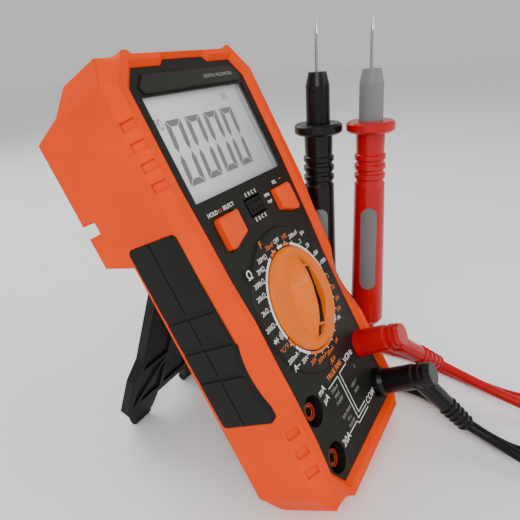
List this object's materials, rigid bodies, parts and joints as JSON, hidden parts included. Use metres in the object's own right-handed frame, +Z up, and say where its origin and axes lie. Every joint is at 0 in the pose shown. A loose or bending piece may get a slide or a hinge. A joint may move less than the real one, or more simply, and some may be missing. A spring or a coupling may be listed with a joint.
{
  "type": "digital multimeter",
  "caption": "Handheld digital multimeter in a rubber holster, leaning on its hinged rear stand, with a rotary range switch, push buttons and a pair of plugged-in test leads.",
  "frame": {"origin": "on the floor under the middle of the meter and its opened stand, test leads left out", "axes": "+Z up, the display faces -Y and leans back, +X to the right seen from the front"},
  "size_m": [0.1812, 0.2838, 0.188],
  "materials": {
    "holster_rubber": "fine matt, moulded",
    "grip_rubber": "matt, grooved",
    "panel_plastic": "fine spark-eroded texture",
    "shell_plastic": "fine spark-eroded texture",
    "name_plate": "satin",
    "window": "clear acrylic",
    "lcd": "silver-grey liquid-crystal cell",
    "frame_white": "satin",
    "zebra": "matt",
    "board": "solder-masked glass fibre",
    "socket_plastic": "satin",
    "brass_turned": "turned and nickel flashed",
    "collar_red": "satin",
    "manganin": "drawn wire",
    "fuse_glass": "glass tube with nickel caps",
    "clip_metal": "bright nickel",
    "battery_jacket": "printed jacket",
    "screw_steel": "zinc plated",
    "pin_steel": "ground",
    "buzzer_black": "satin",
    "knob_orange": "satin",
    "inlay_black": "satin",
    "rotor_plastic": "natural acetal",
    "button_orange": "satin",
    "stand_plastic": "fine texture",
    "lead_red": "satin",
    "lead_black": "satin",
    "cable_red": "satin silicone",
    "cable_black": "satin silicone",
    "collar_grey": "satin",
    "label_grey": "satin print",
    "needle_steel": "ground and plated"
  },
  "bodies": {
    "meter": {"holster": "holster_rubber", "left_grip": "grip_rubber", "right_grip": "grip_rubber", "front_case": "panel_plastic", "rear_case": "shell_plastic", "name_plate": "name_plate", "lcd_window": "window", "lcd_frame": "frame_white", "lcd_glass": "lcd", "backlight": "frame_white", "contact_strips": "zebra", "main_board": "board", "transistor_socket": "socket_plastic", "jack_socket_ma": "brass_turned", "jack_socket_20a": "brass_turned", "jack_socket_volt": "brass_turned", "jack_socket_com": "brass_turned", "jack_collars": "collar_red", "shunt_wire": "manganin", "fuse_ma": "fuse_glass", "fuse_20a": "fuse_glass", "fuse_clips": "clip_metal", "battery": "battery_jacket", "battery_snap": "socket_plastic", "battery_cover": "shell_plastic", "battery_screw": "screw_steel", "buzzer": "buzzer_black", "button_switches": "socket_plastic", "case_screws": "screw_steel", "board_screws": "screw_steel", "hinge_pins": "pin_steel", "red_plug": "lead_red", "black_plug": "lead_black", "red_plug_pin": "pin_steel", "black_plug_pin": "pin_steel", "red_cable_out": "cable_red", "red_cable_coil": "cable_red", "red_cable_back": "cable_red", "black_cable_out": "cable_black", "black_cable_coil": "cable_black", "black_cable_back": "cable_black", "red_probe": "lead_red", "black_probe": "lead_black", "red_probe_label": "label_grey", "black_probe_label": "label_grey", "red_probe_collar": "collar_grey", "black_probe_collar": "lead_black", "red_probe_tip": "needle_steel", "black_probe_tip": "needle_steel"},
    "dial": {"range_knob": "knob_orange", "knob_inlay": "inlay_black", "knob_rotor": "rotor_plastic", "rotor_contacts": "clip_metal", "detent_balls": "pin_steel"},
    "hold_button": {"hold_button": "button_orange"},
    "select_button": {"select_button": "button_orange"},
    "stand": {"rear_stand": "stand_plastic", "stand_pads": "grip_rubber"}
  },
  "joints": [
    {"name": "dial_turn", "type": "hinge", "parent": "meter", "child": "dial", "pos_m": [0, -0.02742, 0.07962], "axis": [0, -0.8957, 0.4446], "continuous": true},
    {"name": "hold_press", "type": "slide", "parent": "meter", "child": "hold_button", "axis": [0, -0.8957, 0.4446], "range_m": [-0.0012, 0], "stiffness_N_per_m": 900, "springref_m": 0.0004},
    {"name": "select_press", "type": "slide", "parent": "meter", "child": "select_button", "axis": [0, -0.8957, 0.4446], "range_m": [-0.0012, 0], "stiffness_N_per_m": 900, "springref_m": 0.0004},
    {"name": "stand_fold", "type": "hinge", "parent": "meter", "child": "stand", "pos_m": [0, 0.01975, 0.09863], "axis": [1, 0, 0], "range_deg": [-49.1, 0]}
  ]
}
